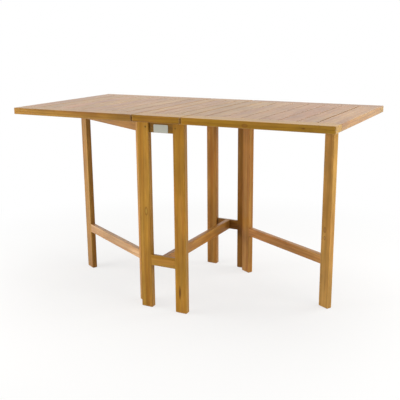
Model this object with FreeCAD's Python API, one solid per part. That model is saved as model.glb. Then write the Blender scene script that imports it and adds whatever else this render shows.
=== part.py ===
import FreeCAD, Part
import math
import os

V = FreeCAD.Vector
ALONG_X = V(1, 0, 0)
ALONG_Y = V(0, 1, 0)
ALONG_Z = V(0, 0, 1)
PARALLEL = 0.99  # least cosine between two directions that count as one

# Gateleg table with two drop leaves, drawn open. Millimetres, +Z up, +X along the table.
# The origin is on the ground under the middle of the top.
# The table looks the same after half a turn about Z, so the left half is the right half turned.

# Whole table
TABLE_LENGTH = 1300.0
TABLE_WIDTH = 650.0
TABLE_HEIGHT = 745.0
TOP_THICKNESS = 25.0
CENTRE_LENGTH = 196.0
LEAF_GAP = 4.0
ARRIS = 2.0

# Framed tops: rails run along X, stiles and slats along Y between them
TOP_RAIL_WIDTH = 65.0
CENTRE_STILE_WIDTH = 50.0
LEAF_INNER_STILE_WIDTH = 60.0
LEAF_OUTER_STILE_WIDTH = 80.0
SLAT_THICKNESS = 20.0
SLAT_GAP = 4.0
SLAT_ARRIS = 0.8
CENTRE_SLAT_COUNT = 2
LEAF_SLAT_COUNT = 6
TONGUE_THICKNESS = 8.0
TONGUE_LENGTH = 8.0
TOP_TENON_THICKNESS = 9.0
TOP_TENON_LENGTH = 35.0
TENON_SHOULDER = 8.0
BATTEN_WIDTH = 50.0
BATTEN_THICKNESS = 15.0

# Fixed stand: two ladder ends joined by one stretcher
POST_WIDTH = 47.0
POST_DEPTH = 22.0
POST_SIDE_INSET = 0.0
POST_END_INSET = 33.0
FOOT_CHAMFER = 3.0
STAND_RAIL_DEPTH = 15.0
STAND_RAIL_HEIGHT = 41.0
STAND_LOWER_RAIL_BOTTOM = 173.0
STRETCHER_WIDTH = 20.0
STAND_TENON_THICKNESS = 7.0
STAND_TENON_LENGTH = 30.0
STRETCHER_TENON_LENGTH = 11.0
POST_TENON_WIDTH = 24.0
POST_TENON_LENGTH = 12.0
PEG_DIAMETER = 8.0
PEG_LENGTH = 18.0
PEG_EDGE_DISTANCE = 11.0

# Swinging gates
GATE_STICK_WIDTH = 47.0
GATE_STICK_DEPTH = 22.0
GATE_INSET = 5.0
GATE_END_CLEARANCE = 2.0
GATE_RAIL_DEPTH = 20.0
GATE_UPPER_RAIL_HEIGHT = 36.0
GATE_LOWER_RAIL_HEIGHT = 36.0
GATE_LOWER_RAIL_BOTTOM = 170.0
GATE_TENON_THICKNESS = 8.0
GATE_TENON_LENGTH = 30.0
GATE_TOP_CLEARANCE = 0.2
LEG_PAST_CENTRE = 10.0
STOP_LENGTH = 60.0
STOP_WIDTH = 20.0
STOP_DROP = 30.0
STOP_CLEARANCE = 0.3

# Butt hinges, one size for leaves and gates
HINGE_LENGTH = 50.0
HINGE_PLATE_WIDTH = 20.0
HINGE_PLATE_THICKNESS = 1.5
BARREL_RADIUS = 3.0
PIN_RADIUS = 1.5
PIN_CLEARANCE = 0.06
KNUCKLE_COUNT = 3
KNUCKLE_CLEARANCE = 0.3
LEAF_HINGE_END_DISTANCE = 110.0
GATE_HINGE_RAIL_DISTANCE = 60.0
GATE_HINGE_OVERHANG = 4.0

# Countersunk wood screws
SCREW_SHANK_RADIUS = 1.6
SCREW_HEAD_RADIUS = 3.1
SCREW_LENGTH = 14.0
SCREW_SPACING = 30.0

# Worked out: levels
TOP_UNDERSIDE = TABLE_HEIGHT - TOP_THICKNESS
SLAT_UNDERSIDE = TABLE_HEIGHT - SLAT_THICKNESS
SLAT_MIDDLE = TABLE_HEIGHT - SLAT_THICKNESS / 2
BATTEN_UNDERSIDE = SLAT_UNDERSIDE - BATTEN_THICKNESS
GATE_TOP = BATTEN_UNDERSIDE - GATE_TOP_CLEARANCE
STAND_LOWER_RAIL_TOP = STAND_LOWER_RAIL_BOTTOM + STAND_RAIL_HEIGHT
GATE_UPPER_RAIL_BOTTOM = GATE_TOP - GATE_UPPER_RAIL_HEIGHT
GATE_LOWER_RAIL_TOP = GATE_LOWER_RAIL_BOTTOM + GATE_LOWER_RAIL_HEIGHT

# Worked out: plan of the top
TABLE_END = TABLE_LENGTH / 2
TABLE_EDGE = TABLE_WIDTH / 2
CENTRE_EDGE = CENTRE_LENGTH / 2
LEAF_START = CENTRE_EDGE + LEAF_GAP
RAIL_INNER_EDGE = TABLE_EDGE - TOP_RAIL_WIDTH
LEAF_HINGE_X = CENTRE_EDGE + LEAF_GAP / 2
LEAF_HINGE_Z = TOP_UNDERSIDE - BARREL_RADIUS
LEAF_HINGE_Y = TABLE_EDGE - LEAF_HINGE_END_DISTANCE

# Worked out: plan of the stand, from the post that stands at +X, +Y
POST_OUTER_X = CENTRE_EDGE - POST_SIDE_INSET
POST_INNER_X = POST_OUTER_X - POST_WIDTH
POST_OUTER_Y = TABLE_EDGE - POST_END_INSET
POST_INNER_Y = POST_OUTER_Y - POST_DEPTH
POST_MIDDLE_Y = POST_OUTER_Y - POST_DEPTH / 2

# Worked out: the right gate as it lies folded, and how far it swings out
GATE_OUTER_X = POST_OUTER_X - GATE_INSET
GATE_INNER_X = GATE_OUTER_X - GATE_STICK_DEPTH
GATE_MIDDLE_X = (GATE_OUTER_X + GATE_INNER_X) / 2
GATE_HINGE_X = GATE_OUTER_X + GATE_HINGE_OVERHANG
GATE_HINGE_Y = POST_INNER_Y - BARREL_RADIUS
GATE_NEAR_END = GATE_HINGE_Y - BARREL_RADIUS
GATE_FAR_END = -POST_INNER_Y + GATE_END_CLEARANCE
GATE_AXIS = V(GATE_HINGE_X, GATE_HINGE_Y, 0)
LEG_REACH = GATE_HINGE_Y - (GATE_FAR_END + GATE_STICK_WIDTH / 2)
LEG_OFFSET = GATE_HINGE_X - GATE_MIDDLE_X
# The open leg stands a little past the table's long centre line, on its hinge's side.
LEG_DISTANCE = math.hypot(LEG_OFFSET, LEG_REACH)
GATE_OPEN_ANGLE = math.degrees(
    math.atan2(LEG_OFFSET, LEG_REACH) + math.acos((GATE_HINGE_Y - LEG_PAST_CENTRE) / LEG_DISTANCE)
)

parts = {}


def box(x, y, z):
    """Block between two limits along each axis."""
    return Part.makeBox(x[1] - x[0], y[1] - y[0], z[1] - z[0], V(x[0], y[0], z[0]))


def about(middle, width):
    """Limits of a width laid out to both sides of a middle."""
    return (middle - width / 2, middle + width / 2)


def stick(x, y, z, grain, low_chamfer=0, high_chamfer=0, arris=ARRIS):
    """Planed timber: ends that show are chamfered, then the four long arrises are eased."""
    blank = box(x, y, z)
    for chamfer, pick in ((low_chamfer, min), (high_chamfer, max)):
        if chamfer:
            end = pick(blank.Faces, key=lambda face: face.CenterOfMass.dot(grain))
            blank = blank.makeChamfer(chamfer, end.Edges)
    long_edges = [e for e in blank.Edges if abs(e.tangentAt(e.FirstParameter).dot(grain)) > PARALLEL]
    return blank.makeFillet(arris, long_edges)


def half_turn(solid):
    """The same piece on the other half of the table."""
    return solid.rotated(V(0, 0, 0), ALONG_Z, 180)


def keep(name, solids):
    """Files a piece, or a group of equal pieces, under its name."""
    parts[name] = solids[0] if len(solids) == 1 else Part.makeCompound(solids)


def keep_pair(names, solid):
    """Files a piece and its twin from half a turn round."""
    keep(names[0], [solid])
    keep(names[1], [half_turn(solid)])


def screw(head, direction):
    """Countersunk screw, its head at a surface and its point along a direction."""
    cone = Part.makeCone(SCREW_HEAD_RADIUS, SCREW_SHANK_RADIUS, HINGE_PLATE_THICKNESS, head, direction)
    shank = Part.makeCylinder(SCREW_SHANK_RADIUS, SCREW_LENGTH, head, direction)
    return cone.fuse(shank).removeSplitter()


def knuckle_limits(index):
    """Ends of one knuckle along the barrel, which is centred on zero."""
    step = HINGE_LENGTH / KNUCKLE_COUNT
    start = -HINGE_LENGTH / 2 + index * step
    return (start, start + step)


def hinge_plate(owns, bore_radius):
    """Hinge plate rolled into the knuckles that it owns.

    The barrel runs along Y through the origin. The plate lies along +X, level with the
    barrel's upper side, and is cut back where the other plate's knuckles turn.
    """
    level = (BARREL_RADIUS - HINGE_PLATE_THICKNESS, BARREL_RADIUS)
    plate = box((0, HINGE_PLATE_WIDTH), about(0, HINGE_LENGTH), level)
    room = BARREL_RADIUS + KNUCKLE_CLEARANCE
    for index in owns:
        low, high = knuckle_limits(index)
        plate = plate.fuse(Part.makeCylinder(BARREL_RADIUS, high - low, V(0, low, 0), ALONG_Y))
    for index in set(range(KNUCKLE_COUNT)) - set(owns):
        low, high = knuckle_limits(index)
        gap = (low - KNUCKLE_CLEARANCE, high + KNUCKLE_CLEARANCE)
        plate = plate.cut(box((-room, room), gap, (-room, room)))
    bore = Part.makeCylinder(bore_radius, HINGE_LENGTH, V(0, -HINGE_LENGTH / 2, 0), ALONG_Y)
    return plate.cut(bore).removeSplitter()


def plate_screws():
    """Screws of one plate, in the plate's own place, driven upwards through it."""
    middle = (HINGE_PLATE_WIDTH + BARREL_RADIUS) / 2
    level = BARREL_RADIUS - HINGE_PLATE_THICKNESS
    return [screw(V(middle, y, level), ALONG_Z) for y in about(0, SCREW_SPACING)]


def placed(solid, origin, x_axis, z_axis):
    """Moves a piece from its own axes to a place and direction on the table."""
    y_axis = z_axis.cross(x_axis)
    matrix = FreeCAD.Matrix(
        x_axis.x, y_axis.x, z_axis.x, origin.x,
        x_axis.y, y_axis.y, z_axis.y, origin.y,
        x_axis.z, y_axis.z, z_axis.z, origin.z,
        0, 0, 0, 1,
    )
    return solid.transformed(matrix)


fixed_knuckles = [index for index in range(KNUCKLE_COUNT) if index % 2 == 0]
moving_knuckles = [index for index in range(KNUCKLE_COUNT) if index % 2 == 1]
fixed_plate = hinge_plate(fixed_knuckles, PIN_RADIUS)
moving_plate = hinge_plate(moving_knuckles, PIN_RADIUS + PIN_CLEARANCE)
for driven in plate_screws():
    fixed_plate = fixed_plate.cut(driven)
    moving_plate = moving_plate.cut(driven)
hinge_pin = Part.makeCylinder(PIN_RADIUS, HINGE_LENGTH, V(0, -HINGE_LENGTH / 2, 0), ALONG_Y)


def hinge_set(origin, fixed_x, fixed_z, moving_x, moving_z):
    """Fixed plate, moving plate, pin and both plates' screws of one hinge."""
    return {
        "fixed_plate": [placed(fixed_plate, origin, fixed_x, fixed_z)],
        "moving_plate": [placed(moving_plate, origin, moving_x, moving_z)],
        "pin": [placed(hinge_pin, origin, fixed_x, fixed_z)],
        "fixed_screws": [placed(s, origin, fixed_x, fixed_z) for s in plate_screws()],
        "moving_screws": [placed(s, origin, moving_x, moving_z) for s in plate_screws()],
    }


def joined(sets, key):
    """One kind of piece from several hinges."""
    return [solid for one in sets for solid in one[key]]


leaf_hinges = [
    hinge_set(V(LEAF_HINGE_X, y, LEAF_HINGE_Z), -ALONG_X, ALONG_Z, ALONG_X, ALONG_Z)
    for y in (-LEAF_HINGE_Y, LEAF_HINGE_Y)
]
gate_hinge_levels = (
    GATE_LOWER_RAIL_TOP + GATE_HINGE_RAIL_DISTANCE,
    GATE_UPPER_RAIL_BOTTOM - GATE_HINGE_RAIL_DISTANCE,
)
# Folded, the two plates of a gate hinge face each other between the post and the gate.
gate_hinges = [
    hinge_set(GATE_AXIS + V(0, 0, z), -ALONG_X, ALONG_Y, -ALONG_X, -ALONG_Y) for z in gate_hinge_levels
]


def framed_top(x, inner_width, outer_width, slat_count, stile_holes):
    """Rails, stiles and slats of one section of the top.

    x gives the section's two ends, inner_width and outer_width its stiles,
    and stile_holes what is cut from the stiles for screws.
    """
    level = (TOP_UNDERSIDE, TABLE_HEIGHT)
    slats_from = x[0] + inner_width
    slats_to = x[1] - outer_width
    stiles = []
    mortises = []
    for ends in ((x[0], slats_from), (slats_to, x[1])):
        body = stick(ends, (-RAIL_INNER_EDGE, RAIL_INNER_EDGE), level, ALONG_Y)
        tongue = box(
            (ends[0] + TENON_SHOULDER, ends[1] - TENON_SHOULDER),
            about(0, 2 * (RAIL_INNER_EDGE + TOP_TENON_LENGTH)),
            about(TABLE_HEIGHT - TOP_THICKNESS / 2, TOP_TENON_THICKNESS),
        )
        stiles.append(body.fuse(tongue).removeSplitter().cut(stile_holes))
        mortises.append(tongue)
    groove = box(
        (slats_from, slats_to),
        about(0, 2 * (RAIL_INNER_EDGE + TONGUE_LENGTH)),
        about(SLAT_MIDDLE, TONGUE_THICKNESS),
    )
    rails = []
    for y in ((-TABLE_EDGE, -RAIL_INNER_EDGE), (RAIL_INNER_EDGE, TABLE_EDGE)):
        rail = stick(x, y, level, ALONG_X, low_chamfer=ARRIS, high_chamfer=ARRIS)
        rails.append(rail.cut(mortises + [groove]))
    slat_width = (slats_to - slats_from - (slat_count + 1) * SLAT_GAP) / slat_count
    slats = []
    for index in range(slat_count):
        start = slats_from + SLAT_GAP + index * (slat_width + SLAT_GAP)
        width = (start, start + slat_width)
        depth = (SLAT_UNDERSIDE, TABLE_HEIGHT)
        body = stick(width, (-RAIL_INNER_EDGE, RAIL_INNER_EDGE), depth, ALONG_Y, arris=SLAT_ARRIS)
        tongue = box(
            width,
            about(0, 2 * (RAIL_INNER_EDGE + TONGUE_LENGTH)),
            about(SLAT_MIDDLE, TONGUE_THICKNESS),
        )
        slats.append(body.fuse(tongue).removeSplitter())
    return {"rails": rails, "stiles": stiles, "slats": slats, "span": (slats_from, slats_to)}


def make_leaves():
    """Both leaves, each with its batten, gate stop and hinge plates."""
    holes = joined(leaf_hinges, "moving_screws")
    leaf = framed_top(
        (LEAF_START, TABLE_END), LEAF_INNER_STILE_WIDTH, LEAF_OUTER_STILE_WIDTH, LEAF_SLAT_COUNT, holes
    )
    keep_pair(("right_leaf_front_rail", "left_leaf_back_rail"), leaf["rails"][0])
    keep_pair(("right_leaf_back_rail", "left_leaf_front_rail"), leaf["rails"][1])
    keep_pair(("right_leaf_inner_stile", "left_leaf_inner_stile"), leaf["stiles"][0])
    keep_pair(("right_leaf_outer_stile", "left_leaf_outer_stile"), leaf["stiles"][1])
    for number, slat in enumerate(leaf["slats"], 1):
        keep_pair(("right_leaf_slat_%d" % number, "left_leaf_slat_%d" % number), slat)
    batten_y = about(LEG_PAST_CENTRE, BATTEN_WIDTH)
    batten = stick(leaf["span"], batten_y, (BATTEN_UNDERSIDE, SLAT_UNDERSIDE), ALONG_X)
    keep_pair(("right_leaf_batten", "left_leaf_batten"), batten)
    keep_pair(("right_gate_stop", "left_gate_stop"), gate_stop())
    plates = Part.makeCompound(joined(leaf_hinges, "moving_plate"))
    keep_pair(("right_leaf_hinge_plates", "left_leaf_hinge_plates"), plates)
    screws = Part.makeCompound(joined(leaf_hinges, "moving_screws"))
    keep_pair(("right_leaf_hinge_screws", "left_leaf_hinge_screws"), screws)


def swung_out(solid):
    """A piece of the right gate, from where it lies folded to where it stands open."""
    return solid.rotated(GATE_AXIS, ALONG_Z, GATE_OPEN_ANGLE)


def gate_stop():
    """Block under a leaf that the open gate's upper rail comes up against."""
    rail_face = GATE_MIDDLE_X + GATE_RAIL_DEPTH / 2 + STOP_CLEARANCE
    middle_y = (GATE_NEAR_END + GATE_FAR_END) / 2
    block = stick(
        (rail_face, rail_face + STOP_WIDTH),
        about(middle_y, STOP_LENGTH),
        (SLAT_UNDERSIDE - STOP_DROP, SLAT_UNDERSIDE),
        ALONG_Y,
    )
    return swung_out(block)


def make_gates():
    """Both gates: hinge stile, leg and two rails, with their hinge plates."""
    depth = (GATE_INNER_X, GATE_OUTER_X)
    height = (0, GATE_TOP)
    stile_y = (GATE_NEAR_END - GATE_STICK_WIDTH, GATE_NEAR_END)
    leg_y = (GATE_FAR_END, GATE_FAR_END + GATE_STICK_WIDTH)
    levels = {
        "upper": (GATE_UPPER_RAIL_BOTTOM, GATE_TOP),
        "lower": (GATE_LOWER_RAIL_BOTTOM, GATE_LOWER_RAIL_TOP),
    }
    mortises = []
    for name, z in levels.items():
        body = stick(about(GATE_MIDDLE_X, GATE_RAIL_DEPTH), (leg_y[1], stile_y[0]), z, ALONG_Y)
        tongue = box(
            about(GATE_MIDDLE_X, GATE_TENON_THICKNESS),
            (leg_y[1] - GATE_TENON_LENGTH, stile_y[0] + GATE_TENON_LENGTH),
            (z[0] + TENON_SHOULDER, z[1] - TENON_SHOULDER),
        )
        mortises.append(tongue)
        rail = swung_out(body.fuse(tongue).removeSplitter())
        keep_pair(("right_gate_%s_rail" % name, "left_gate_%s_rail" % name), rail)
    stile_cuts = mortises + joined(gate_hinges, "moving_screws")
    stile = stick(depth, stile_y, height, ALONG_Z, low_chamfer=FOOT_CHAMFER).cut(stile_cuts)
    keep_pair(("right_gate_stile", "left_gate_stile"), swung_out(stile))
    leg = stick(depth, leg_y, height, ALONG_Z, low_chamfer=FOOT_CHAMFER).cut(mortises)
    keep_pair(("right_gate_leg", "left_gate_leg"), swung_out(leg))
    plates = swung_out(Part.makeCompound(joined(gate_hinges, "moving_plate")))
    keep_pair(("right_gate_hinge_plates", "left_gate_hinge_plates"), plates)
    screws = swung_out(Part.makeCompound(joined(gate_hinges, "moving_screws")))
    keep_pair(("right_gate_hinge_screws", "left_gate_hinge_screws"), screws)


def post_top_tenons():
    """Stub tenons on the tops of the two posts at +Y, which hold the centre of the top."""
    tenons = []
    for side in (-1, 1):
        middle_x = side * (POST_INNER_X + POST_OUTER_X) / 2
        tenons.append(
            box(
                about(middle_x, POST_TENON_WIDTH),
                about(POST_MIDDLE_Y, STAND_TENON_THICKNESS),
                (TOP_UNDERSIDE, TOP_UNDERSIDE + POST_TENON_LENGTH),
            )
        )
    return tenons


def make_centre():
    """Fixed centre of the top, mortised for the posts and drilled for the hinges."""
    one_side = joined(leaf_hinges, "fixed_screws")
    holes = one_side + [half_turn(s) for s in one_side]
    sockets = post_top_tenons()
    sockets += [half_turn(s) for s in sockets]
    centre = framed_top(
        (-CENTRE_EDGE, CENTRE_EDGE), CENTRE_STILE_WIDTH, CENTRE_STILE_WIDTH, CENTRE_SLAT_COUNT, holes
    )
    for name, rail in zip(("front", "back"), centre["rails"]):
        keep("centre_%s_rail" % name, [rail.cut(sockets)])
    for name, stile in zip(("left", "right"), centre["stiles"]):
        keep("centre_%s_stile" % name, [stile.cut(sockets)])
    for number, slat in enumerate(centre["slats"], 1):
        keep("centre_slat_%d" % number, [slat])


def make_stand():
    """Posts, rails, stretcher and pegs, drawn at +Y and turned half round for the other end."""
    rails = {
        "upper": ((POST_INNER_Y, POST_INNER_Y + STAND_RAIL_DEPTH), TOP_UNDERSIDE - STAND_RAIL_HEIGHT),
        "lower": ((POST_OUTER_Y - STAND_RAIL_DEPTH, POST_OUTER_Y), STAND_LOWER_RAIL_BOTTOM),
    }
    pegs = []
    for side in (-1, 1):
        peg_x = side * (POST_INNER_X + PEG_EDGE_DISTANCE)
        head = V(peg_x, POST_OUTER_Y, TOP_UNDERSIDE - STAND_RAIL_HEIGHT / 2)
        pegs.append(Part.makeCylinder(PEG_DIAMETER / 2, PEG_LENGTH, head, -ALONG_Y))
    stretcher_y = POST_OUTER_Y - STAND_RAIL_DEPTH
    stretcher_z = (STAND_LOWER_RAIL_BOTTOM, STAND_LOWER_RAIL_TOP)
    stretcher_tenon = box(
        about(0, STAND_TENON_THICKNESS),
        about(0, 2 * (stretcher_y + STRETCHER_TENON_LENGTH)),
        (stretcher_z[0] + TENON_SHOULDER, stretcher_z[1] - TENON_SHOULDER),
    )
    mortises = []
    for name, (y, bottom) in rails.items():
        z = (bottom, bottom + STAND_RAIL_HEIGHT)
        body = stick((-POST_INNER_X, POST_INNER_X), y, z, ALONG_X)
        tongue = box(
            about(0, 2 * (POST_INNER_X + STAND_TENON_LENGTH)),
            about(POST_MIDDLE_Y, STAND_TENON_THICKNESS),
            (z[0] + TENON_SHOULDER, z[1] - TENON_SHOULDER),
        )
        mortises.append(tongue)
        rail = body.fuse(tongue).removeSplitter().cut(pegs + [stretcher_tenon])
        keep_pair(("back_%s_rail" % name, "front_%s_rail" % name), rail)
    plate_holes = joined(gate_hinges, "fixed_screws")
    top_tenons = post_top_tenons()
    for side, (name, twin) in {
        -1: ("back_left_post", "front_right_post"),
        1: ("back_right_post", "front_left_post"),
    }.items():
        x = sorted((side * POST_INNER_X, side * POST_OUTER_X))
        y = (POST_INNER_Y, POST_OUTER_Y)
        post = stick(x, y, (0, TOP_UNDERSIDE), ALONG_Z, low_chamfer=FOOT_CHAMFER)
        post = post.fuse(top_tenons[(side + 1) // 2]).cut(mortises + pegs + plate_holes)
        keep_pair((name, twin), post)
    stretcher = stick(about(0, STRETCHER_WIDTH), (-stretcher_y, stretcher_y), stretcher_z, ALONG_Y)
    keep("stretcher", [stretcher.fuse(stretcher_tenon).removeSplitter()])
    keep("stand_pegs", pegs + [half_turn(p) for p in pegs])


def make_fixed_hinge_pieces():
    """Hinge pieces that stay with the stand and the centre of the top."""
    leaf_plates = joined(leaf_hinges, "fixed_plate")
    keep("centre_hinge_plates", leaf_plates + [half_turn(s) for s in leaf_plates])
    post_plates = joined(gate_hinges, "fixed_plate")
    keep("post_hinge_plates", post_plates + [half_turn(s) for s in post_plates])
    pins = joined(leaf_hinges + gate_hinges, "pin")
    keep("hinge_pins", pins + [half_turn(s) for s in pins])
    screws = joined(leaf_hinges + gate_hinges, "fixed_screws")
    keep("fixed_hinge_screws", screws + [half_turn(s) for s in screws])


make_centre()
make_stand()
make_leaves()
make_gates()
make_fixed_hinge_pieces()

os.makedirs("parts", exist_ok=True)
for name, shape in parts.items():
    shape.exportStep("parts/%s.step" % name)
print("%d nodes, gate opens %.2f degrees" % (len(parts), GATE_OPEN_ANGLE))
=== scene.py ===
import math
import random

import bmesh
import bpy
from mathutils import Matrix, Vector


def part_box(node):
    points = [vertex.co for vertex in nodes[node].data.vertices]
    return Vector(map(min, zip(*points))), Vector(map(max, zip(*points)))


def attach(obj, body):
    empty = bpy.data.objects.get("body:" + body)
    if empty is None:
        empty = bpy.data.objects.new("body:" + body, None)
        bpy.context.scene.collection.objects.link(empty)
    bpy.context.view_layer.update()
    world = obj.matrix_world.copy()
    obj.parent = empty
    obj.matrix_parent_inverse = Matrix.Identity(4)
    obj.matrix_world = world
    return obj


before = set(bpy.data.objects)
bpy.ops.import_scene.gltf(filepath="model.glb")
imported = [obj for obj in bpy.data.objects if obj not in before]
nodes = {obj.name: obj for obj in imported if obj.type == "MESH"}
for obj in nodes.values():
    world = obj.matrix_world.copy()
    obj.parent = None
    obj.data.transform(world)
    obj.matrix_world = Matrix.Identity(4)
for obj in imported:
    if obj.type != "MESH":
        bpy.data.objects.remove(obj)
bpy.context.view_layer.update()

scene = bpy.context.scene
scene.view_settings.view_transform = "Standard"
MM = 0.001
WHITE = (1.0, 1.0, 1.0, 1.0)
ALONG_TABLE = Vector((1, 0, 0))
ACROSS_TABLE = Vector((0, 1, 0))
UPRIGHT = Vector((0, 0, 1))

# Sockets of a Mix node when it mixes colours. Their names are shared with its other sockets, so
# they go by number.
MIX_SHARE, MIX_FIRST, MIX_SECOND, MIX_RESULT = 0, 6, 7, 2

# Camera, from a fit to the table's outline in the photograph: degrees, metres, and lens and sensor in mm
CAMERA_AZIMUTH = 27.506
CAMERA_ELEVATION = 14.097
CAMERA_ROLL = -0.422
CAMERA_DISTANCE = 2.8274
CAMERA_TO_RIGHT = 0.0057
CAMERA_RAISE = 0.3559
CAMERA_LENS = 60.638
CAMERA_SENSOR = 36.0

# Soft boxes: place, width and height in metres, and power in watts. Each one faces the middle of the table.
LIGHT_TARGET = Vector((0, 0, 0.45))
SOFT_BOXES = {
    "left_soft_box": ((-1.7, -1.0, 1.2), 1.2, 1.6, 20),
    "low_left_soft_box": ((-1.7, -2.0, 0.6), 1.2, 1.0, 26),
    "right_soft_box": ((1.8, -0.4, 1.2), 1.2, 1.6, 16),
    "back_right_soft_box": ((1.8, 1.2, 1.0), 1.2, 1.4, 21),
    "overhead_soft_box": ((0.0, 0.3, 2.6), 2.2, 1.6, 34),
}
AMBIENT = 0.22  # how strongly the surround lights the table, where 1 is the white that the eye sees

# Floor: the share of plain white near the table, so that it keeps a soft shadow, and where white takes over
FLOOR_SIZE = 60.0
FLOOR_COLOUR = "#F2F1EE"
FLOOR_WHITE_SHARE = 0.72
FLOOR_SHADOW_REACH = (0.75, 1.7)

# Teak's colours, for a golden board, a rosy one and pale sapwood
GOLDEN_TEAK = {"pale": "#B98B37", "heart": "#A1701C", "vein": "#6A400F", "end": "#C0922A"}
ROSY_TEAK = {"pale": "#C08D56", "heart": "#A56630", "vein": "#723E15", "end": "#C0922A"}
SAPWOOD_TEAK = {"pale": "#CFA980", "heart": "#BD9468", "vein": "#8E6238", "end": "#C8A24C"}

# Teak's surface and the thin film of oil on it
TEAK_IOR = 1.5
TEAK_SHEEN_LEVEL = 0.1  # less than polished wood gives, because the open pores break the surface up
TEAK_RELIEF = {"Strength": 0.25, "Distance": 0.4 * MM}
OIL_FILM_WEIGHT = 0.4
OIL_FILM_IOR = 1.22
OIL_FILM_ROUGHNESS = 0.25

# Grain sizes in mm, along the grain and across it. Teak's pores are about 0.3 mm wide and
# 4 mm long. They are drawn as 2 mm by 50 mm lines, which is as fine as shows at this scale.
GRAIN = {
    "streak": (700.0, 20.0),
    "pore": (50.0, 2.0),
    "patch": (420.0, 110.0),
    "blush": (260.0, 26.0),
    "mottle": (180.0, 60.0),
}
GRAIN_NOISE = {"Scale": 1.0, "Detail": 3.0, "Roughness": 0.55}
PITH_DISTANCE = (45.0, 120.0)
BOARD_SHIFT = 3.0  # metres at most along the grain, so that each board shows its own stretch of it

# Growth rings: their width in mm, the length and width of their wandering in mm, and how strong it is
GROWTH_RING = 11.0
RING_WANDER = (520.0, 60.0)
RING_UNEVENNESS = {"Distortion": 9.0, "Detail": 2.0, "Detail Roughness": 0.5}
WAVE_RING = 2 * math.pi / 20  # the width of a ring of a Wave node of scale 1

# What each pattern does: the stretch of its values that counts, and the effect from one end to the other
STREAK = {"From Min": 0.30, "From Max": 0.70}
LATEWOOD = {"From Min": 0.45, "From Max": 1.0, "To Max": 0.36}
VEINED_PATCH = {"From Min": 0.3, "From Max": 0.7, "To Min": 0.3, "To Max": 1.0}
BLUSH = {"From Min": 0.45, "From Max": 0.70}
PORE_SHADE = {"From Min": 0.25, "From Max": 0.75, "To Min": 0.84, "To Max": 1.12}
MOTTLE_SHADE = {"From Min": 0.3, "From Max": 0.7, "To Min": 0.80, "To Max": 1.20}
PORE_ROUGHNESS = {"From Min": 0.3, "From Max": 0.7, "To Min": 0.27, "To Max": 0.42}
CUT_END = {"From Min": 0.8, "From Max": 0.95, "To Max": 0.8}
GOLDEN_BLUSH_SHARE = 0.3
ROSY_BLUSH_SHARE = 0.6

# Arrises drawn paler, partly as wear and partly as a painted highlight where a rounded edge catches the
# light:
# how far in from the edge in mm, how much paler, and how strongly. On the top the arrises get a near-white
# painted highlight, which also lightens the shade in the gaps between the slats. The paling sets in as the
# flatness falls from 1 on the flat face.
WEAR_AND_HIGHLIGHT_REACH = 2.5
WEAR_AND_HIGHLIGHT_PALER = 1.3
WEAR_AND_HIGHLIGHT = 0.6
ARRIS_HIGHLIGHT_COLOUR = "#E8D0B8"
SLAT_ARRIS_HIGHLIGHT = 1.6
TOP_FRAME_ARRIS_HIGHLIGHT = 0.8
WEAR_AND_HIGHLIGHT_SAMPLES = 6
WEAR_AND_HIGHLIGHT_BY_FLATNESS = {"From Min": 0.995, "From Max": 0.90}

# Boards that stand out in the photograph: brightness, share of rosy wood and share of sapwood.
# The brightness is fitted to how lit each board looks, so it is partly painted light and shade: the back
# right post, the back lower rail, the front upper rail under the top and the left gate's leg are darkened
# as painted shade, and the right gate's leg and lower rail are brightened as painted light.
# A rosy share below zero is yellower than golden wood.
BOARD_TONES_WITH_PAINTED_LIGHT = {
    "left_gate_leg": (0.77, 0.2, 0.05),
    "left_gate_lower_rail": (0.97, 0.2, 0.86),
    "left_gate_upper_rail": (0.77, 0.4, 0.0),
    "left_gate_stile": (1.0, 0.4, 0.0),
    "right_gate_lower_rail": (1.22, 0.55, 0.18),
    "right_gate_leg": (1.18, -0.2, 0.27),
    "right_gate_stile": (1.02, 0.45, 0.05),
    "front_left_post": (0.97, 0.05, 0.0),
    "front_right_post": (1.06, 0.05, 0.0),
    "back_left_post": (0.90, 0.4, 0.05),
    "back_right_post": (0.64, 0.4, 0.0),
    "front_lower_rail": (0.89, 0.05, 0.0),
    "back_lower_rail": (0.58, 0.3, 0.0),
    "stretcher": (0.98, 0.4, 0.0),
    "front_upper_rail": (0.53, 0.0, 0.0),
    "stand_pegs": (0.42, 0.3, 0.0),
    "left_leaf_front_rail": (0.70, 0.1, 0.05),
    "centre_front_rail": (0.76, -0.1, 0.0),
    "right_leaf_front_rail": (0.86, -0.15, 0.0),
    "right_leaf_outer_stile": (0.81, 0.45, 0.15),
}

# All other boards: their mean brightness, its spread from board to board and their range of rosy shares
PLAIN_TONE = 0.70
PLAIN_TONE_SPREAD = 0.07
PLAIN_ROSY_SHARES = (0.1, 0.9)

# Knots: place in metres, half width and half length in mm, and colour of the heart
KNOTS = {
    "front_left_post": [((-0.068, -0.292, 0.383), 8.0, 20.0, "#A98435")],
    "front_right_post": [((0.071, -0.292, 0.082), 6.0, 32.0, "#6A4314")],
    "right_leaf_front_rail": [
        ((0.343, -0.325, 0.730), 7.0, 13.0, "#8E6222"),
        ((0.545, -0.325, 0.732), 2.5, 8.0, "#6A4314"),
    ],
    "right_gate_leg": [
        ((0.530, 0.002, 0.309), 8.0, 14.0, "#AD7A45"),
        ((0.530, 0.002, 0.277), 6.0, 10.0, "#B58350"),
    ],
}
KNOT_RIM_COLOUR = "#754610"

# How the rim and the heart of a knot fade, by the distance from its middle as a share of its size
KNOT_RIM = {"From Min": 0.7, "From Max": 1.0, "To Min": 0.6, "To Max": 0.0}
KNOT_HEART = {"From Min": 0.3, "From Max": 0.7, "To Min": 1.0, "To Max": 0.0}

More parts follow.
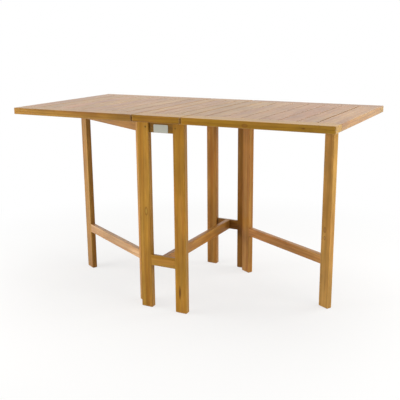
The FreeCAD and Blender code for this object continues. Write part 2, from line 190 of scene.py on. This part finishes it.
# Brass: bright and tarnished colour and bright roughness, then sizes in mm
HINGE_BRASS = ("#B39358", "#7E6335", 0.34)
SCREW_BRASS = ("#B8975A", "#7A5D30", 0.28)
TARNISH_SIZE = 16.0
TARNISH_NOISE = {"Detail": 5.0, "Roughness": 0.6}
TARNISH = {"From Min": 0.3, "From Max": 0.75}
TARNISH_DULLING = 0.2
ROLLING_LINE = (0.5, 12.0)  # width and length
BRASS_RELIEF = {"Strength": 0.15, "Distance": 0.05 * MM}

# Aluminium of the plate: its darker and paler brushing lines, their width and length in mm, and its roughness
ALUMINIUM_COLOURS = ("#ABAB9E", "#C4C3B7")
BRUSHING_LINE = (0.6, 25.0)
BRUSHING_NOISE = {"Scale": 1.0, "Detail": 2.0}
ALUMINIUM_ROUGHNESS = {"To Min": 0.34, "To Max": 0.5}
ALUMINIUM_RELIEF = {"Strength": 0.1, "Distance": 0.05 * MM}

# Bare plate on the front upper rail, in metres
PLATE_WIDTH = 0.060
PLATE_HEIGHT = 0.029
PLATE_THICKNESS = 0.0012
PLATE_CORNER = 0.0035
PLATE_EDGE = 0.0004
PLATE_MIDDLE_X = -0.0015
PLATE_MIDDLE_Z = 0.6945
PLATE_CORNER_STEPS = 6
PLATE_EDGE_STEPS = 2


def linear(hex_colour):
    """The linear colour that a shader socket takes for an sRGB hex colour."""
    channels = [int(hex_colour[i:i + 2], 16) / 255 for i in (1, 3, 5)]
    return [c / 12.92 if c <= 0.04045 else ((c + 0.055) / 1.055) ** 2.4 for c in channels] + [1.0]


def between(first, second, share):
    """The colour that lies that share of the way from the first to the second."""
    return [a + (b - a) * share for a, b in zip(first, second)]


def shaded(colour, shade):
    """A colour made darker or paler by that factor."""
    return [channel * shade for channel in colour[:3]] + [1.0]


def new_material(name):
    """An empty node material and its tree."""
    material = bpy.data.materials.new(name)
    material.use_nodes = True
    material.node_tree.nodes.clear()
    return material, material.node_tree


def add(tree, kind, inputs, **settings):
    """Adds a node. An input is a plain value, or another node's output, which is linked."""
    node = tree.nodes.new(kind)
    for setting, value in settings.items():
        setattr(node, setting, value)
    for place, value in inputs.items():
        if isinstance(value, bpy.types.NodeSocket):
            tree.links.new(value, node.inputs[place])
        else:
            node.inputs[place].default_value = value
    return node


def middle_of(piece):
    """The middle of a CAD piece's box."""
    low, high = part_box(piece)
    return (low + high) / 2


def gate_direction(side):
    """Which way an open gate reaches, from its hinged stile to its leg."""
    reach = middle_of(side + "_gate_leg") - middle_of(side + "_gate_stile")
    reach.z = 0
    return reach.normalized()


def grain_direction(piece):
    """Which way a board's grain runs: along the board, as it was sawn."""
    if piece.endswith(("_post", "_gate_stile", "_gate_leg")):
        return UPRIGHT
    if "_gate_" in piece:
        return gate_direction(piece.split("_")[0])
    if "slat" in piece or piece.endswith("_stile") or piece in ("stretcher", "stand_pegs"):
        return ACROSS_TABLE
    return ALONG_TABLE


def board_tone_with_painted_light(piece):
    """A board's brightness and shares: as the photograph shows it, partly with painted light and shade,
    or as one board differs from the next.
    """
    if piece in BOARD_TONES_WITH_PAINTED_LIGHT:
        return BOARD_TONES_WITH_PAINTED_LIGHT[piece]
    dice = random.Random("tone of " + piece)
    brightness = PLAIN_TONE * (1 + dice.uniform(-PLAIN_TONE_SPREAD, PLAIN_TONE_SPREAD))
    return brightness, dice.uniform(*PLAIN_ROSY_SHARES), 0.0


def board_colours(tone):
    """A board's linear colours, with any painted light and shade in its brightness, and the blush of its
    reddish zones.
    """
    brightness, rosy_share, sapwood_share = tone
    colours = {"blush": shaded(linear(ROSY_TEAK["heart"]), brightness)}
    for part in GOLDEN_TEAK:
        heartwood = between(linear(GOLDEN_TEAK[part]), linear(ROSY_TEAK[part]), rosy_share)
        colours[part] = shaded(between(heartwood, linear(SAPWOOD_TEAK[part]), sapwood_share), brightness)
    return colours


def board_space(tree, piece, grain):
    """Coordinates in the board's own space, where x runs along the grain and the tree's pith lies on the
    x axis, with the turn and the shift that lead there from the table's frame."""
    dice = random.Random(piece)
    turn = grain.rotation_difference(ALONG_TABLE)
    angle = dice.uniform(0, 2 * math.pi)
    pith = dice.uniform(*PITH_DISTANCE) * MM
    along = dice.uniform(-BOARD_SHIFT, BOARD_SHIFT)
    shift = Vector((along, pith * math.cos(angle), pith * math.sin(angle))) - turn @ middle_of(piece)
    board = add(tree, "ShaderNodeMapping", {
        "Vector": add(tree, "ShaderNodeTexCoord", {}).outputs["Object"],
        "Rotation": turn.to_euler(),
        "Location": shift,
    })
    return board.outputs["Vector"], turn, shift


def grain_patterns(tree, board):
    """The noise of each grain pattern, drawn out along the grain."""
    pattern = {}
    for name, (length, width) in GRAIN.items():
        stretched = add(tree, "ShaderNodeVectorMath", {
            0: board,
            1: (1 / (length * MM), 1 / (width * MM), 1 / (width * MM)),
        }, operation="MULTIPLY")
        noise = add(tree, "ShaderNodeTexNoise", {"Vector": stretched.outputs["Vector"], **GRAIN_NOISE})
        pattern[name] = noise.outputs["Fac"]
    return pattern


def growth_rings(tree, board):
    """The share of dark latewood in the growth rings round the pith."""
    ring_scale = WAVE_RING / (GROWTH_RING * MM)
    wander_length, wander_width = RING_WANDER
    flattened = add(tree, "ShaderNodeVectorMath", {
        0: board,
        1: (wander_width / wander_length, 1.0, 1.0),
    }, operation="MULTIPLY")
    rings = add(tree, "ShaderNodeTexWave", {
        "Vector": flattened.outputs["Vector"],
        "Scale": ring_scale,
        "Detail Scale": 1 / (wander_width * MM) / ring_scale,
        **RING_UNEVENNESS,
    }, wave_type="RINGS", rings_direction="X", wave_profile="SAW")
    latewood = add(tree, "ShaderNodeMapRange", {
        "Value": rings.outputs["Fac"],
        **LATEWOOD,
    }, interpolation_type="SMOOTHSTEP")
    return latewood.outputs["Result"]


def long_grain(tree, pattern, latewood, colours, blush_share):
    """The colour of faces along the grain: streaks, reddish zones, veins of latewood, pores and mottling."""
    streak = add(tree, "ShaderNodeMapRange", {
        "Value": pattern["streak"],
        **STREAK,
    }, interpolation_type="SMOOTHSTEP").outputs["Result"]
    blush = add(tree, "ShaderNodeMapRange", {
        "Value": pattern["blush"],
        "To Max": blush_share,
        **BLUSH,
    }, interpolation_type="SMOOTHSTEP").outputs["Result"]
    patch = add(tree, "ShaderNodeMapRange", {"Value": pattern["patch"], **VEINED_PATCH}).outputs["Result"]
    vein = add(tree, "ShaderNodeMath", {0: latewood, 1: patch}, operation="MULTIPLY").outputs[0]
    wood = colours["pale"]
    for share, colour in ((streak, colours["heart"]), (blush, colours["blush"]), (vein, colours["vein"])):
        wood = add(tree, "ShaderNodeMix", {
            MIX_SHARE: share,
            MIX_FIRST: wood,
            MIX_SECOND: colour,
        }, data_type="RGBA").outputs[MIX_RESULT]
    for name, effect in (("pore", PORE_SHADE), ("mottle", MOTTLE_SHADE)):
        shade = add(tree, "ShaderNodeMapRange", {"Value": pattern[name], **effect})
        wood = add(tree, "ShaderNodeMix", {
            MIX_SHARE: 1.0,
            MIX_FIRST: wood,
            MIX_SECOND: shade.outputs["Result"],
        }, data_type="RGBA", blend_type="MULTIPLY").outputs[MIX_RESULT]
    return wood


def with_cut_ends(tree, wood, grain, latewood, colours):
    """Wood with ringed end grain on the cut ends, where a face looks along the grain."""
    facing = add(tree, "ShaderNodeVectorMath", {
        0: add(tree, "ShaderNodeTexCoord", {}).outputs["Normal"],
        1: grain,
    }, operation="DOT_PRODUCT")
    squarely = add(tree, "ShaderNodeMath", {0: facing.outputs["Value"]}, operation="ABSOLUTE")
    cut_end = add(tree, "ShaderNodeMapRange", {"Value": squarely.outputs[0], **CUT_END})
    ringed_end = add(tree, "ShaderNodeMix", {
        MIX_SHARE: latewood,
        MIX_FIRST: colours["end"],
        MIX_SECOND: colours["vein"],
    }, data_type="RGBA")
    return add(tree, "ShaderNodeMix", {
        MIX_SHARE: cut_end.outputs["Result"],
        MIX_FIRST: wood,
        MIX_SECOND: ringed_end.outputs[MIX_RESULT],
    }, data_type="RGBA").outputs[MIX_RESULT]


def arris_wear_and_highlight(piece, pale):
    """How strongly a board's arrises are drawn paler, and the colour that they pale to: wear and painted
    highlight, and on the top a near-white painted highlight alone.
    """
    if "slat" in piece:
        return SLAT_ARRIS_HIGHLIGHT, linear(ARRIS_HIGHLIGHT_COLOUR)
    if piece.startswith(("left_leaf", "right_leaf", "centre")):
        return TOP_FRAME_ARRIS_HIGHLIGHT, linear(ARRIS_HIGHLIGHT_COLOUR)
    return WEAR_AND_HIGHLIGHT, shaded(pale, WEAR_AND_HIGHLIGHT_PALER)


def with_worn_and_highlighted_arrises(tree, wood, streak, edge_paling, edge_colour):
    """Wood drawn paler, in streaks, where a rounded-over edge would turn away from the flat face: partly
    wear, partly a painted highlight of the light that the edge catches.
    """
    rounded = add(tree, "ShaderNodeBevel", {"Radius": WEAR_AND_HIGHLIGHT_REACH * MM}, samples=WEAR_AND_HIGHLIGHT_SAMPLES)
    flatness = add(tree, "ShaderNodeVectorMath", {
        0: rounded.outputs["Normal"],
        1: add(tree, "ShaderNodeNewGeometry", {}).outputs["True Normal"],
    }, operation="DOT_PRODUCT")
    edge_paling_mask = add(tree, "ShaderNodeMapRange", {
        "Value": flatness.outputs["Value"],
        "To Max": edge_paling,
        **WEAR_AND_HIGHLIGHT_BY_FLATNESS,
    })
    streaked = add(tree, "ShaderNodeMath", {0: edge_paling_mask.outputs["Result"], 1: streak}, operation="MULTIPLY")
    return add(tree, "ShaderNodeMix", {
        MIX_SHARE: streaked.outputs[0],
        MIX_FIRST: wood,
        MIX_SECOND: edge_colour,
    }, data_type="RGBA").outputs[MIX_RESULT]


def with_knot(tree, wood, board, middle, half_width, half_length, heart_colour):
    """Wood with a knot in it: a dark rim that fades outwards, round a heart of its own colour."""
    away = add(tree, "ShaderNodeVectorMath", {0: board, 1: middle}, operation="SUBTRACT")
    oval = add(tree, "ShaderNodeVectorMath", {
        0: away.outputs["Vector"],
        1: (1 / (half_length * MM), 1 / (half_width * MM), 1 / (half_width * MM)),
    }, operation="MULTIPLY")
    distance = add(tree, "ShaderNodeVectorMath", {0: oval.outputs["Vector"]}, operation="LENGTH")
    for colour, fade in ((KNOT_RIM_COLOUR, KNOT_RIM), (heart_colour, KNOT_HEART)):
        cover = add(tree, "ShaderNodeMapRange", {
            "Value": distance.outputs["Value"],
            **fade,
        }, interpolation_type="SMOOTHSTEP")
        wood = add(tree, "ShaderNodeMix", {
            MIX_SHARE: cover.outputs["Result"],
            MIX_FIRST: wood,
            MIX_SECOND: linear(colour),
        }, data_type="RGBA").outputs[MIX_RESULT]
    return wood


def oiled_teak(piece):
    """Planed, sanded teak under oil. The eye sees straight golden streaks, darker veins where the
    growth rings meet the face, a slight sheen and, on cut ends, the rings themselves."""
    material, tree = new_material("oiled_teak_" + piece)
    grain = grain_direction(piece)
    tone = board_tone_with_painted_light(piece)
    rosy_share = tone[1]
    blush_share = GOLDEN_BLUSH_SHARE + (ROSY_BLUSH_SHARE - GOLDEN_BLUSH_SHARE) * rosy_share
    colours = board_colours(tone)

    board, turn, shift = board_space(tree, piece, grain)
    pattern = grain_patterns(tree, board)
    latewood = growth_rings(tree, board)
    wood = long_grain(tree, pattern, latewood, colours, blush_share)
    wood = with_cut_ends(tree, wood, grain, latewood, colours)
    wood = with_worn_and_highlighted_arrises(tree, wood, pattern["streak"], *arris_wear_and_highlight(piece, colours["pale"]))
    for place, half_width, half_length, heart_colour in KNOTS.get(piece, ()):
        middle = turn @ Vector(place) + shift
        wood = with_knot(tree, wood, board, middle, half_width, half_length, heart_colour)

    height = add(tree, "ShaderNodeMath", {0: pattern["pore"], 1: latewood}, operation="ADD")
    relief = add(tree, "ShaderNodeBump", {"Height": height.outputs[0], **TEAK_RELIEF})
    roughness = add(tree, "ShaderNodeMapRange", {"Value": pattern["pore"], **PORE_ROUGHNESS})
    surface = add(tree, "ShaderNodeBsdfPrincipled", {
        "Base Color": wood,
        "Roughness": roughness.outputs["Result"],
        "IOR": TEAK_IOR,
        "Specular IOR Level": TEAK_SHEEN_LEVEL,
        "Coat Weight": OIL_FILM_WEIGHT,
        "Coat IOR": OIL_FILM_IOR,
        "Coat Roughness": OIL_FILM_ROUGHNESS,
        "Normal": relief.outputs["Normal"],
    })
    add(tree, "ShaderNodeOutputMaterial", {"Surface": surface.outputs["BSDF"]})
    return material


def tarnished_brass(name, bright, dull, roughness):
    """Rolled or turned brass left outdoors: warm yellow under brown tarnish in small patches."""
    material, tree = new_material(name)
    coordinates = add(tree, "ShaderNodeTexCoord", {}).outputs["Object"]
    spots = add(tree, "ShaderNodeTexNoise", {
        "Vector": coordinates,
        "Scale": 1 / (TARNISH_SIZE * MM),
        **TARNISH_NOISE,
    })
    tarnish = add(tree, "ShaderNodeMapRange", {
        "Value": spots.outputs["Fac"],
        **TARNISH,
    }, interpolation_type="SMOOTHSTEP").outputs["Result"]
    metal = add(tree, "ShaderNodeMix", {
        MIX_SHARE: tarnish,
        MIX_FIRST: linear(bright),
        MIX_SECOND: linear(dull),
    }, data_type="RGBA")
    width, length = ROLLING_LINE
    rolling = add(tree, "ShaderNodeVectorMath", {
        0: coordinates,
        1: (1 / (width * MM), 1 / (width * MM), 1 / (length * MM)),
    }, operation="MULTIPLY")
    lines = add(tree, "ShaderNodeTexNoise", {"Vector": rolling.outputs["Vector"], "Scale": 1.0})
    relief = add(tree, "ShaderNodeBump", {"Height": lines.outputs["Fac"], **BRASS_RELIEF})
    dulled = add(tree, "ShaderNodeMapRange", {
        "Value": tarnish,
        "To Min": roughness,
        "To Max": roughness + TARNISH_DULLING,
    })
    surface = add(tree, "ShaderNodeBsdfPrincipled", {
        "Base Color": metal.outputs[MIX_RESULT],
        "Metallic": 1.0,
        "Roughness": dulled.outputs["Result"],
        "Normal": relief.outputs["Normal"],
    })
    add(tree, "ShaderNodeOutputMaterial", {"Surface": surface.outputs["BSDF"]})
    return material


def brushed_aluminium():
    """Sheet aluminium, brushed along its length and lacquered: pale grey with faint lengthwise lines."""
    material, tree = new_material("brushed_aluminium_plate")
    width, length = BRUSHING_LINE
    brushing = add(tree, "ShaderNodeVectorMath", {
        0: add(tree, "ShaderNodeTexCoord", {}).outputs["Object"],
        1: (1 / (length * MM), 1 / (width * MM), 1 / (width * MM)),
    }, operation="MULTIPLY")
    noise = add(tree, "ShaderNodeTexNoise", {"Vector": brushing.outputs["Vector"], **BRUSHING_NOISE})
    lines = noise.outputs["Fac"]
    darker, paler = ALUMINIUM_COLOURS
    metal = add(tree, "ShaderNodeMix", {
        MIX_SHARE: lines,
        MIX_FIRST: linear(darker),
        MIX_SECOND: linear(paler),
    }, data_type="RGBA")
    roughness = add(tree, "ShaderNodeMapRange", {"Value": lines, **ALUMINIUM_ROUGHNESS})
    relief = add(tree, "ShaderNodeBump", {"Height": lines, **ALUMINIUM_RELIEF})
    surface = add(tree, "ShaderNodeBsdfPrincipled", {
        "Base Color": metal.outputs[MIX_RESULT],
        "Metallic": 1.0,
        "Roughness": roughness.outputs["Result"],
        "Normal": relief.outputs["Normal"],
    })
    add(tree, "ShaderNodeOutputMaterial", {"Surface": surface.outputs["BSDF"]})
    return material


def dress(piece, material):
    """Gives a CAD piece its material."""
    nodes[piece].data.materials.clear()
    nodes[piece].data.materials.append(material)


def bare_plate():
    """The thin plate on the front upper rail, with rounded corners and a softened edge."""
    rail_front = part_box("front_upper_rail")[0].y
    mesh = bpy.data.meshes.new("bare_plate")
    shape = bmesh.new()
    rim = []
    for corner, (side, level) in enumerate(((1, 1), (-1, 1), (-1, -1), (1, -1))):
        middle_x = PLATE_MIDDLE_X + (PLATE_WIDTH / 2 - PLATE_CORNER) * side
        middle_z = PLATE_MIDDLE_Z + (PLATE_HEIGHT / 2 - PLATE_CORNER) * level
        for step in range(PLATE_CORNER_STEPS + 1):
            turn = math.pi / 2 * (corner + step / PLATE_CORNER_STEPS)
            x = middle_x + PLATE_CORNER * math.cos(turn)
            z = middle_z + PLATE_CORNER * math.sin(turn)
            rim.append(shape.verts.new((x, rail_front, z)))
    back_face = shape.faces.new(rim)
    front = bmesh.ops.extrude_face_region(shape, geom=[back_face], use_keep_orig=True)
    front_verts = [item for item in front["geom"] if isinstance(item, bmesh.types.BMVert)]
    bmesh.ops.translate(shape, verts=front_verts, vec=(0, -PLATE_THICKNESS, 0))
    front_edges = [edge for edge in shape.edges if all(vert in front_verts for vert in edge.verts)]
    bmesh.ops.bevel(shape, geom=front_edges, offset=PLATE_EDGE, segments=PLATE_EDGE_STEPS, affect="EDGES")
    bmesh.ops.recalc_face_normals(shape, faces=shape.faces)
    shape.to_mesh(mesh)
    shape.free()
    mesh.materials.append(brushed_aluminium())
    plate = bpy.data.objects.new("bare_plate", mesh)
    scene.collection.objects.link(plate)
    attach(plate, "stand")


def seen_or_mirrored(tree):
    """1 for rays that show a thing directly, in a reflection or through glass, and 0 for the rest."""
    path = add(tree, "ShaderNodeLightPath", {})
    seen = path.outputs["Is Camera Ray"]
    for ray in ("Is Glossy Ray", "Is Transmission Ray"):
        seen = add(tree, "ShaderNodeMath", {0: seen, 1: path.outputs[ray]}, operation="MAXIMUM").outputs[0]
    return seen


def white_backdrop():
    """A white surround for the eye and for reflections, and softer light on everything else."""
    world = bpy.data.worlds.new("white_surround")
    scene.world = world
    world.use_nodes = True
    tree = world.node_tree
    tree.nodes.clear()
    strength = add(tree, "ShaderNodeMapRange", {
        "Value": seen_or_mirrored(tree),
        "To Min": AMBIENT,
        "To Max": 1.0,
    })
    background = add(tree, "ShaderNodeBackground", {
        "Color": WHITE,
        "Strength": strength.outputs["Result"],
    })
    add(tree, "ShaderNodeOutputWorld", {"Surface": background.outputs["Background"]})


def painted_floor():
    """Matt pale paint that takes the table's soft shadow and turns to white further out."""
    material, tree = new_material("matt_painted_floor")
    outwards = add(tree, "ShaderNodeVectorMath", {
        0: add(tree, "ShaderNodeTexCoord", {}).outputs["Object"],
    }, operation="LENGTH")
    shadow_end, white_start = FLOOR_SHADOW_REACH
    white_share = add(tree, "ShaderNodeMapRange", {
        "Value": outwards.outputs["Value"],
        "From Min": shadow_end,
        "From Max": white_start,
        "To Min": FLOOR_WHITE_SHARE,
        "To Max": 1.0,
    }, interpolation_type="SMOOTHSTEP")
    share = add(tree, "ShaderNodeMath", {
        0: seen_or_mirrored(tree),
        1: white_share.outputs["Result"],
    }, operation="MULTIPLY")
    paint = add(tree, "ShaderNodeBsdfDiffuse", {"Color": linear(FLOOR_COLOUR)})
    white = add(tree, "ShaderNodeEmission", {"Color": WHITE, "Strength": 1.0})
    surface = add(tree, "ShaderNodeMixShader", {
        0: share.outputs[0],
        1: paint.outputs["BSDF"],
        2: white.outputs["Emission"],
    })
    add(tree, "ShaderNodeOutputMaterial", {"Surface": surface.outputs["Shader"]})
    return material


def pale_floor():
    """The plain floor that the table stands on."""
    mesh = bpy.data.meshes.new("floor")
    shape = bmesh.new()
    bmesh.ops.create_grid(shape, x_segments=1, y_segments=1, size=FLOOR_SIZE / 2)
    shape.to_mesh(mesh)
    shape.free()
    mesh.materials.append(painted_floor())
    floor = bpy.data.objects.new("floor", mesh)
    scene.collection.objects.link(floor)


def soft_boxes():
    """The studio's soft boxes, each turned to the table. Sheen mirrors the white surround, not the boxes."""
    for name, (place, width, height, power) in SOFT_BOXES.items():
        lamp = bpy.data.lights.new(name, "AREA")
        lamp.shape = "RECTANGLE"
        lamp.size = width
        lamp.size_y = height
        lamp.energy = power
        box = bpy.data.objects.new(name, lamp)
        scene.collection.objects.link(box)
        box.location = place
        box.rotation_euler = (LIGHT_TARGET - Vector(place)).to_track_quat("-Z", "Y").to_euler()
        box.visible_glossy = False


def photograph_camera():
    """The camera that took the photograph."""
    azimuth = math.radians(CAMERA_AZIMUTH)
    elevation = math.radians(CAMERA_ELEVATION)
    roll = math.radians(CAMERA_ROLL)
    back = Vector((
        math.sin(azimuth) * math.cos(elevation),
        -math.cos(azimuth) * math.cos(elevation),
        math.sin(elevation),
    ))
    right = Vector((math.cos(azimuth), math.sin(azimuth), 0))
    up = back.cross(right)
    place = back * CAMERA_DISTANCE + right * CAMERA_TO_RIGHT + up * CAMERA_RAISE
    level = Matrix((right, up, back)).transposed()
    lens = bpy.data.cameras.new("camera")
    lens.lens = CAMERA_LENS
    lens.sensor_width = CAMERA_SENSOR
    camera = bpy.data.objects.new("camera", lens)
    scene.collection.objects.link(camera)
    camera.matrix_world = Matrix.Translation(place) @ (level @ Matrix.Rotation(roll, 3, "Z")).to_4x4()
    scene.camera = camera


hinge_brass = tarnished_brass("rolled_brass_hinge", *HINGE_BRASS)
screw_brass = tarnished_brass("turned_brass_screw", *SCREW_BRASS)
for piece in nodes:
    if "screws" in piece:
        dress(piece, screw_brass)
    elif "hinge" in piece:
        dress(piece, hinge_brass)
    else:
        dress(piece, oiled_teak(piece))
bare_plate()
white_backdrop()
pale_floor()
soft_boxes()
photograph_camera()
